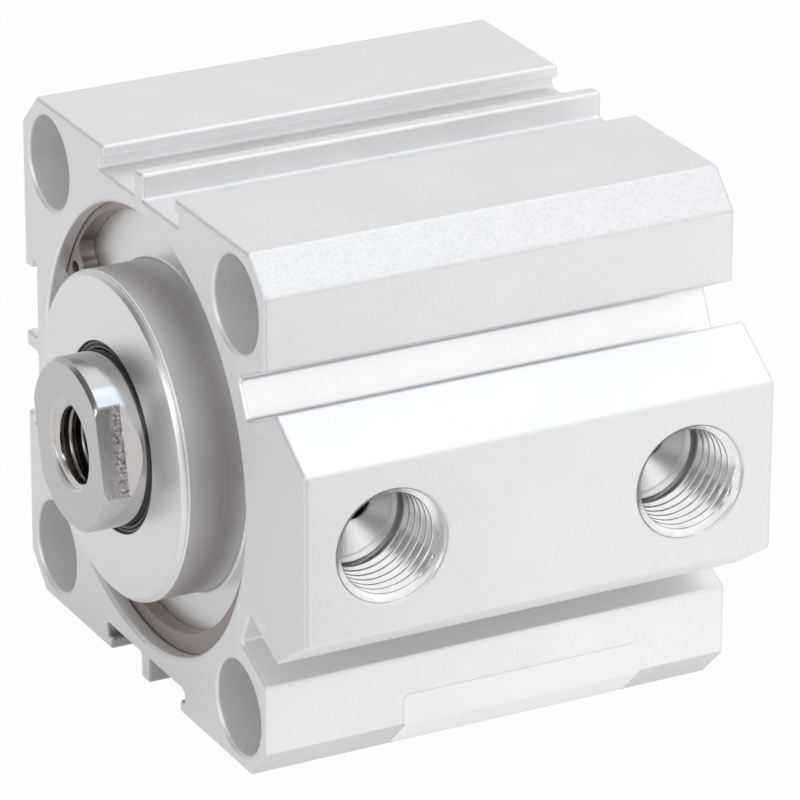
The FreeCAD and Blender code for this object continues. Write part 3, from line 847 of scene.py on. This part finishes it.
def rod_steel(finishes):
    """Chromed rod with a turned end, milled flats with painted light that makes them lighter towards their
    lower edge, a rough run-out, and a threaded hole darkened by painted shade.
    """
    material, shader, place = blank_material("chromed_rod")
    squared = mapped(place, Rotation=(-FLAT_TURN, 0, 0))
    apart = split(squared)
    radius = off_axis(apart["Y"], apart["Z"])
    zones = rod_zones(apart, radius)
    rings = joined(X=apart["X"], Y=radius)
    lines = noise(rings, size=0.1 * MM, detail=3.0, roughness=0.7)
    strokes = noise(mapped(squared, Scale=(4.0, 1.0, 1.0)), size=0.9 * MM)
    tears = noise(place, size=0.35 * MM, detail=3.0, roughness=0.65)
    # Painted light: the flats lighter towards their lower edge; the milled colour and strokes are their own
    flat_painted_light = spread(apart["Z"], low=1.5, high=0.92, from_low=-6.0 * MM, from_high=3.0 * MM)
    milled = scaled(finishes.milled, product(spread(strokes, *MILLED_TINT), flat_painted_light))
    surface = tinted(finishes.chrome, lines, *CHROME_TINT)
    layers = (
        ("end", tinted(finishes.rod_end, lines, *ROD_END_TINT)),
        ("flat", milled),
        ("torn", tinted(finishes.milled, tears, *TORN_TINT)),
        ("run_out", tinted(finishes.run_out, tears, *RUN_OUT_TINT)),
        # Painted shade: dark steel deep in the threaded hole
        ("hole", tinted(finishes.rod_thread, lines, *ROD_HOLE_TINT)),
        ("mouth", tinted(finishes.rod_mouth, lines, *ROD_MOUTH_TINT)),
    )
    for zone, layer in layers:
        surface = blended(zones[zone], surface, layer)
    rough = mixed(zones["end"], spread(lines, *CHROME_ROUGH), ROD_END_ROUGH)
    rough = mixed(zones["flat"], rough, spread(strokes, *MILLED_ROUGH))
    rough = mixed(zones["torn"], rough, spread(tears, *TORN_ROUGH))
    rough = mixed(zones["run_out"], rough, RUN_OUT_ROUGH)
    feed(shader, {"Base Color": surface, "Roughness": rough, "Metallic": 1.0})
    height = mixed(zones["torn"], product(lines, LINE_HEIGHT), product(tears, TEAR_HEIGHT))
    outward = added(product(zones["round"], ROUND_LEAN), product(zones["mouth"], MOUTH_LEAN))
    facing = node("ShaderNodeNewGeometry", {}, shader.id_data).outputs["Normal"]
    normal = leaned(facing, joined(X=outward))
    bumped(shader, height, strength=0.3, depth=0.03 * MM, normal=normal)
    return material


def threaded_steel(finishes):
    """Cut steel of the rod's thread, bright at the countersink, with painted shade that darkens it further
    in.
    """
    material, shader, place = blank_material("cut_thread_steel")
    grain = noise(place, size=0.3 * MM, detail=3.0)
    # Painted shade: from the bright countersink to dark steel deeper in the hole
    near_mouth = spread(split(place)["X"], 0.0, 1.0, *THREAD_SHADE_STATIONS)
    deep_painted_shade = tinted(finishes.rod_thread, grain, *THREAD_TINT)
    surface = blended(near_mouth, deep_painted_shade, tinted(finishes.rod_mouth, grain, *ROD_MOUTH_TINT))
    rough = spread(grain, *THREAD_ROUGH)
    feed(shader, {"Base Color": surface, "Roughness": rough, "Metallic": 1.0})
    return material


def grained(name, base, tint, rough, smoother, rougher, grain_size, metallic, bump):
    """Material with a fine grain in colour and gloss."""
    material, shader, place = blank_material(name)
    grain = noise(place, grain_size, detail=3.0)
    surface = tinted(base, grain, *tint)
    roughness = spread(grain, rough - smoother, rough + rougher)
    feed(shader, {"Base Color": surface, "Roughness": roughness, "Metallic": metallic})
    bumped(shader, grain, strength=bump, depth=0.01 * MM)
    return material


def plain_metal(name, base, rough, grain_size, metallic=1.0):
    """Metal with a fine grain."""
    return grained(
        name, base, METAL_TINT, rough, smoother=0.05, rougher=0.07,
        grain_size=grain_size, metallic=metallic, bump=0.06,
    )


def soft_matter(name, base, rough, grain_size, contrast=0.2, metallic=0.0):
    """Rubber, plastic or foil with a fine skin texture."""
    return grained(
        name, base, (1.0 - contrast, 1.0 + contrast), rough, smoother=0.06, rougher=0.08,
        grain_size=grain_size, metallic=metallic, bump=0.5 * contrast,
    )


def pale_floor(stage):
    """Floor that shows white to the camera and to reflections and keeps the soft shadow, with a painted
    bright band on the boss side and a painted dark patch towards the dark side that only reflections see.
    """
    material = bpy.data.materials.new("pale_floor")
    material.use_nodes = True
    tree = material.node_tree
    tree.nodes.clear()
    rays = node("ShaderNodeLightPath", {}, tree).outputs
    mirrored = greatest(rays["Is Glossy Ray"], rays["Is Transmission Ray"])
    place = node("ShaderNodeTexCoord", {}, tree).outputs["Object"]
    # Painted shade: a dark patch on the floor towards the dark side, seen only in reflections
    away = combined("SUBTRACT", place, FLOOR_MIDDLE)["Vector"]
    far = combined("LENGTH", away)["Value"]
    darkward = sums("DIVIDE", toward(away, DARK_SIDE), far)
    dim_way = spread(darkward, 0.0, FLOOR_DIM, *DARK_RANGE)
    dim = product(dim_way, spread(far, 0.0, 1.0, *FLOOR_DIM_START), mirrored)
    # Painted light: a bright band of white on the boss side, seen only in reflections
    aside = split(place)["Y"]
    bright = product(spread(aside, *FLOOR_RISE), spread(aside, *FLOOR_FALL), less(1.0, dim))
    seen = product(rays["Is Camera Ray"], FLOOR_SEEN)
    share = greatest(seen, product(mirrored, bright))
    matt_colour = blended(dim, tuple(stage.floor), FLOOR_PAINTED_SHADE)
    matt = node("ShaderNodeBsdfDiffuse", {"Color": matt_colour}).outputs[0]
    white = node("ShaderNodeEmission", {"Color": WHITE, "Strength": 1.0}, tree).outputs[0]
    surface = node("ShaderNodeMixShader", {0: share, 1: matt, 2: white}).outputs[0]
    node("ShaderNodeOutputMaterial", {"Surface": surface})
    return material


def soft_dome(stage):
    """World that is dimmer behind the object, with a bright patch overhead and two dark patches to mirror."""
    world = bpy.data.worlds.new("soft_dome")
    world.use_nodes = True
    tree = world.node_tree
    tree.nodes.clear()
    way = node("ShaderNodeTexCoord", {}, tree).outputs["Generated"]
    apart = split(way)
    side = spread(apart["Y"], stage.dim_side, stage.bright_side, *SIDE_RANGE)
    boss_share = spread(apart["Y"], 0.0, stage.bright_rise, *BOSS_SIDE_RANGE)
    boss_rise = product(boss_share, spread(apart["Z"], 0.0, 1.0, *BOSS_HEIGHT_RANGE))
    patch = spread(toward(way, PATCH_DIRECTION), 0.0, stage.sky_rise, *PATCH_RANGE)
    overhead = spread(apart["Z"], 0.0, 1.0, *OVERHEAD_RANGE)
    dome = mixed(overhead, added(side, boss_rise), added(stage.sky, patch))
    for direction, limits in ((GAP_DIRECTION, GAP_RANGE), (DARK_SIDE, DARK_RANGE)):
        dome = product(dome, spread(toward(way, direction), 1.0, DARK_SHARE, *limits))
    camera_ray = node("ShaderNodeLightPath", {}, tree).outputs["Is Camera Ray"]
    strength = mixed(camera_ray, dome, 1.0)
    sky = node("ShaderNodeBackground", {"Color": WHITE, "Strength": strength}).outputs[0]
    node("ShaderNodeOutputWorld", {"Surface": sky})
    return world


# Operators, one for each piece or group of like pieces


class CYLINDER_OT_barrel(bpy.types.Operator):
    """Give the extruded barrel its blasted finish"""

    bl_idname = "cylinder.barrel"
    bl_label = "Barrel"

    def execute(self, context):
        coat("barrel", blasted_aluminium(context.scene.cylinder_finishes))
        return {"FINISHED"}


class CYLINDER_OT_port_threads(bpy.types.Operator):
    """Cut the pipe threads into both ports"""

    bl_idname = "cylinder.port_threads"
    bl_label = "Port threads"

    def execute(self, context):
        base = context.scene.cylinder_finishes.cut_thread
        finish = plain_metal("cut_thread_aluminium", base, rough=0.17, grain_size=2.0 * MM)
        sizes = thread_sizes(context.scene.cylinder_sizes, "port")
        first = thread_turns("port_thread", *sizes, shape=STRAIGHT_RIDGE)
        for end in ("front", "rear"):
            piece = copied(first, f"{end}_port_thread")
            put(piece, Vector((MOUNTS[f"{end}_port"]["pos_m"][0], BOSS_FACE, 0)), PORT_TURN)
            dress(piece, finish, BODY)
        bpy.data.objects.remove(first)
        return {"FINISHED"}


class CYLINDER_OT_mount_threads(bpy.types.Operator):
    """Cut the screw threads behind the counterbores"""

    bl_idname = "cylinder.mount_threads"
    bl_label = "Mounting threads"

    def execute(self, context):
        base = context.scene.cylinder_finishes.cut_thread
        finish = plain_metal("cut_screw_thread", base, rough=0.35, grain_size=0.3 * MM, metallic=0.72)
        sizes = thread_sizes(context.scene.cylinder_sizes, "mount")
        first = thread_turns("mount_thread", *sizes, steps=MOUNT_THREAD_STEPS)
        for end, turn in (("front", None), ("rear", HALF_TURN)):
            station = MOUNTS[f"{end}_mounting_threads"]["pos_m"][0]
            for side, y in (("far", -HOLE_OFFSET), ("near", HOLE_OFFSET)):
                for level, z in (("low", -HOLE_OFFSET), ("top", HOLE_OFFSET)):
                    piece = copied(first, f"{end}_mount_thread_{side}_{level}")
                    put(piece, Vector((station, y, z)), turn)
                    dress(piece, finish, BODY)
        bpy.data.objects.remove(first)
        return {"FINISHED"}


class CYLINDER_OT_covers(bpy.types.Operator):
    """Turn the front cover and finish the rear one"""

    bl_idname = "cylinder.covers"
    bl_label = "Covers"

    def execute(self, context):
        finish = turned_aluminium(context.scene.cylinder_finishes)
        piece = turned_piece("front_cover_turned", self.profile())
        round_edges(piece, context.scene.cylinder_sizes.cover_edge_round)
        dress(piece, finish, BODY, "front_cover")
        coat("rear_cover", finish)
        return {"FINISHED"}

    def profile(self):
        """Closed profile of the front cover, from the bush seat round the flange and the collar."""
        root_middle = (FLANGE_FRONT + COLLAR_ROOT_ROUND, COLLAR_RADIUS + COLLAR_ROOT_ROUND)
        return [
            (COVER_BACK, BUSH_SEAT_RADIUS), (COVER_BACK, NOSE_RADIUS - COVER_BEVEL),
            (COVER_BACK + COVER_BEVEL, NOSE_RADIUS), (FLANGE_BACK, NOSE_RADIUS),
            (FLANGE_BACK, FLANGE_RADIUS), (ORING_GROOVE_BACK, FLANGE_RADIUS),
            (ORING_GROOVE_BACK, ORING_GROOVE_RADIUS), (ORING_GROOVE_FRONT, ORING_GROOVE_RADIUS),
            (ORING_GROOVE_FRONT, FLANGE_RADIUS), (FLANGE_FRONT - COVER_BEVEL, FLANGE_RADIUS),
            (FLANGE_FRONT, FLANGE_RADIUS - COVER_BEVEL),
            *arc(root_middle, COLLAR_ROOT_ROUND, first=180, last=270, steps=4),
            *arc(**COLLAR_BEAD), *COLLAR_RIM, (COLLAR_FRONT, COLLAR_FACE_RADIUS),
            (COLLAR_FRONT, OPENING_RADIUS + OPENING_BEVEL), (COLLAR_FRONT - OPENING_BEVEL, OPENING_RADIUS),
            (SEAL_SEAT_FRONT, OPENING_RADIUS), (SEAL_SEAT_FRONT, SEAL_SEAT_RADIUS),
            (SEAL_SEAT_BACK, SEAL_SEAT_RADIUS), (SEAL_SEAT_BACK, BUSH_SEAT_RADIUS),
        ]


class CYLINDER_OT_rings(bpy.types.Operator):
    """Round the stamped edges of the retaining rings"""

    bl_idname = "cylinder.rings"
    bl_label = "Retaining rings"

    def execute(self, context):
        base = context.scene.cylinder_finishes.ring
        finish = plain_metal("phosphated_spring_steel", base, rough=0.42, grain_size=0.25 * MM)
        for end in ("front", "rear"):
            piece = merged_copy(f"{end}_retaining_ring", f"{end}_ring_stamped")
            round_edges(piece, context.scene.cylinder_sizes.ring_edge_round)
            dress(piece, finish, BODY, f"{end}_retaining_ring")
        return {"FINISHED"}


class CYLINDER_OT_rod(bpy.types.Operator):
    """Turn the rod, mill its flats and cut its thread"""

    bl_idname = "cylinder.rod"
    bl_label = "Piston rod"

    def execute(self, context):
        sizes = context.scene.cylinder_sizes
        finishes = context.scene.cylinder_finishes
        piece = merged_copy("piston_rod", "rod_with_flats")
        slope_run_outs(piece)
        round_edges(piece, sizes.rod_edge_round)
        dress(piece, rod_steel(finishes), ROD, "piston_rod")
        thread = thread_turns("rod_thread_turns", *thread_sizes(sizes, "rod"))
        put(thread, Vector((ROD_FRONT, 0, 0)))
        dress(thread, threaded_steel(finishes), ROD)
        return {"FINISHED"}


class CYLINDER_OT_rod_seal(bpy.types.Operator):
    """Mould the rod seal with its two rounded wiper lips"""

    bl_idname = "cylinder.rod_seal"
    bl_label = "Rod seal"

    def execute(self, context):
        base = context.scene.cylinder_finishes.rubber
        finish = soft_matter("black_rubber", base, rough=0.18, grain_size=0.2 * MM)
        piece = turned_piece("rod_wiper_seal", self.profile())
        smooth(piece)
        dress(piece, finish, BODY, "rod_seal")
        return {"FINISHED"}

    def profile(self):
        """Closed profile of the seal, from its inner lip round the wiper lips to the notch at its back."""
        inner_lip = (INNER_LIP_STATION, SEAL_INNER_RADIUS + WIPER_ROUND)
        outer_lip = (OUTER_LIP_STATION, WIPER_OUTER_RADIUS - WIPER_ROUND)
        return [
            (SEAL_BACK, SEAL_INNER_RADIUS), (SEAL_BACK + SEAL_LIP_LAND, SEAL_INNER_RADIUS),
            (SEAL_BACK + 2 * SEAL_LIP_LAND, SEAL_HOLLOW_RADIUS),
            (SEAL_FRONT - SEAL_LIP_LAND, SEAL_HOLLOW_RADIUS), (SEAL_FRONT, SEAL_INNER_RADIUS),
            *arc(inner_lip, WIPER_ROUND, first=-90, last=70, steps=LIP_STEPS),
            *arc(outer_lip, WIPER_ROUND, first=-75, last=90, steps=LIP_STEPS),
            (SEAL_FRONT, WIPER_OUTER_RADIUS), (SEAL_FRONT, SEAL_OUTER_RADIUS),
            (SEAL_BACK, SEAL_OUTER_RADIUS), (SEAL_BACK, SEAL_OUTER_RADIUS - SEAL_LIP_LAND),
            (SEAL_BACK + SEAL_NOTCH_DEPTH, (SEAL_INNER_RADIUS + SEAL_OUTER_RADIUS) / 2),
            (SEAL_BACK, SEAL_INNER_RADIUS + SEAL_LIP_LAND),
        ]


class CYLINDER_OT_label(bpy.types.Operator):
    """Lay the bare foil over the lower land and its chamfer"""

    bl_idname = "cylinder.label"
    bl_label = "Foil label"

    def execute(self, context):
        sizes = context.scene.cylinder_sizes
        piece = self.sheet()
        self.round_corners(piece, sizes.foil_corner)
        if piece.data.polygons[0].normal.y < 0:
            edit_all(piece)
            bpy.ops.mesh.flip_normals()
            bpy.ops.object.mode_set(mode="OBJECT")
        apply_modifier(piece, "SOLIDIFY", thickness=sizes.foil_thickness, offset=1.0)
        round_edges(piece, FOIL_EDGE_ROUND)
        base = context.scene.cylinder_finishes.foil
        finish = soft_matter("bare_foil", base, rough=0.37, grain_size=2.0 * MM, contrast=0.008, metallic=0.8)
        dress(piece, finish, BODY, "name_label")
        return {"FINISHED"}

    def sheet(self):
        """Folded sheet without thickness."""
        low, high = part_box("name_label")
        top = (low.x, LAND_FACE, high.z)
        fold = (low.x, LAND_FACE, LAND_FOLD)
        end = (low.x, LAND_FACE - LABEL_WRAP, LAND_FOLD - LABEL_WRAP)
        piece = start_line("bare_foil_label", top)
        draw_line([top, fold, end])
        bpy.ops.mesh.extrude_region_move(TRANSFORM_OT_translate={"value": (high.x - low.x, 0, 0)})
        close_up(piece)
        return piece

    def round_corners(self, piece, radius):
        """Round the four outer corners of the sheet."""
        for part in (*piece.data.edges, *piece.data.polygons):
            part.select = False
        for point in piece.data.vertices:
            point.select = abs(point.co.z - LAND_FOLD) > MM
        bpy.ops.object.mode_set(mode="EDIT")
        bpy.ops.mesh.select_mode(type="VERT")
        bpy.ops.mesh.bevel(offset=radius, segments=CORNER_STEPS, affect="VERTICES")
        bpy.ops.object.mode_set(mode="OBJECT")


class CYLINDER_OT_inner_pieces(bpy.types.Operator):
    """Give the pieces inside the bore their finishes"""

    bl_idname = "cylinder.inner_pieces"
    bl_label = "Inner pieces"

    def execute(self, context):
        finishes = context.scene.cylinder_finishes
        rubber = bpy.data.materials["black_rubber"]
        turned = bpy.data.materials["turned_aluminium"]
        inside = {
            "front_cover_oring": rubber,
            "rear_cover_oring": rubber,
            "rod_oring": rubber,
            "piston_seal": rubber,
            "magnet_washer": rubber,
            "front_bumper": rubber,
            "rear_bumper": rubber,
            "piston": turned,
            "magnet_holder": turned,
            "rod_bush": plain_metal("bored_bronze", finishes.bronze, rough=0.3, grain_size=0.3 * MM),
            "wear_ring": soft_matter("guide_plastic", finishes.guide, rough=0.5, grain_size=0.3 * MM),
            "magnet": soft_matter("sintered_magnet", finishes.magnet, rough=0.55, grain_size=0.2 * MM),
            "piston_screw": plain_metal("blackened_steel", finishes.screw, rough=0.35, grain_size=0.3 * MM),
        }
        for name, material in inside.items():
            coat(name, material)
        return {"FINISHED"}


class CYLINDER_OT_stage(bpy.types.Operator):
    """Set the floor, the soft light and the camera"""

    bl_idname = "cylinder.stage"
    bl_label = "Stage"

    def execute(self, context):
        scene = context.scene
        stage = scene.cylinder_stage
        self.lay_floor(stage)
        scene.world = soft_dome(stage)
        self.soft_box(scene, "key_box", KEY_PLACE, stage.key_size, stage.key_power, stage.key_colour)
        self.soft_box(scene, "fill_box", FILL_PLACE, stage.fill_size, stage.fill_power, stage.fill_colour)
        self.set_camera(scene, stage)
        scene.view_settings.view_transform = "Standard"
        return {"FINISHED"}

    def lay_floor(self, stage):
        """Pale floor under the object."""
        clear_selection()
        bpy.ops.mesh.primitive_plane_add(size=stage.floor_size, location=(0, 0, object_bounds()[0][2]))
        floor = bpy.context.active_object
        floor.name = "floor"
        floor.data.materials.append(pale_floor(stage))
        floor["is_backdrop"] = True

    def soft_box(self, scene, name, place, size, power, tint):
        """Square lamp that faces the front of the object and isn't seen by the camera."""
        lamp = bpy.data.objects.new(name, bpy.data.lights.new(name, "AREA"))
        scene.collection.objects.link(lamp)
        lamp.data.shape = "SQUARE"
        lamp.data.size = size
        lamp.data.energy = power
        lamp.data.color = tint[:3]
        lamp.visible_camera = False
        lamp.location = place
        lamp.rotation_euler = (Vector(place) - Vector(LAMP_AIM)).to_track_quat("Z", "Y").to_euler()

    def set_camera(self, scene, stage):
        """Camera at the viewing angle."""
        camera = bpy.data.objects.new("camera", bpy.data.cameras.new("camera"))
        scene.collection.objects.link(camera)
        camera.data.lens = stage.lens
        camera.data.sensor_width = 36.0
        camera.data.sensor_fit = "HORIZONTAL"
        camera.data.clip_end = 20.0
        camera.location = CAMERA_PLACE
        camera.rotation_euler = [math.radians(angle) for angle in CAMERA_TURN]
        scene.camera = camera


class CYLINDER_PT_panel(bpy.types.Panel):
    """Operators and settings of the air cylinder"""

    bl_idname = "CYLINDER_PT_panel"
    bl_label = "Air cylinder"
    bl_space_type = "VIEW_3D"
    bl_region_type = "UI"
    bl_category = "Air cylinder"

    def draw(self, context):
        for operator in OPERATORS:
            self.layout.operator(operator.bl_idname)
        for name in GROUPS:
            group = getattr(context.scene, name)
            box = self.layout.box()
            for key in group.bl_rna.properties.keys():
                if key not in ("rna_type", "name"):
                    box.prop(group, key)


GROUPS = {
    "cylinder_sizes": CylinderSizes,
    "cylinder_finishes": CylinderFinishes,
    "cylinder_stage": CylinderStage,
}
OPERATORS = (
    CYLINDER_OT_barrel,
    CYLINDER_OT_port_threads,
    CYLINDER_OT_mount_threads,
    CYLINDER_OT_covers,
    CYLINDER_OT_rings,
    CYLINDER_OT_rod,
    CYLINDER_OT_rod_seal,
    CYLINDER_OT_label,
    CYLINDER_OT_inner_pieces,
    CYLINDER_OT_stage,
)


def register():
    """Register the classes and hang the settings on the scene."""
    for group in GROUPS.values():
        bpy.utils.register_class(group)
    for operator in OPERATORS:
        bpy.utils.register_class(operator)
    bpy.utils.register_class(CYLINDER_PT_panel)
    for name, group in GROUPS.items():
        setattr(bpy.types.Scene, name, bpy.props.PointerProperty(type=group))


def unregister():
    """Take the settings and classes away again."""
    for name in GROUPS:
        delattr(bpy.types.Scene, name)
    bpy.utils.unregister_class(CYLINDER_PT_panel)
    for operator in reversed(OPERATORS):
        bpy.utils.unregister_class(operator)
    for group in reversed(GROUPS.values()):
        bpy.utils.unregister_class(group)


def main():
    """Build everything in order."""
    register()
    bpy.ops.cylinder.barrel()
    bpy.ops.cylinder.port_threads()
    bpy.ops.cylinder.mount_threads()
    bpy.ops.cylinder.covers()
    bpy.ops.cylinder.rings()
    bpy.ops.cylinder.rod()
    bpy.ops.cylinder.rod_seal()
    bpy.ops.cylinder.label()
    bpy.ops.cylinder.inner_pieces()
    bpy.ops.cylinder.stage()


if __name__ == "__main__":
    main()
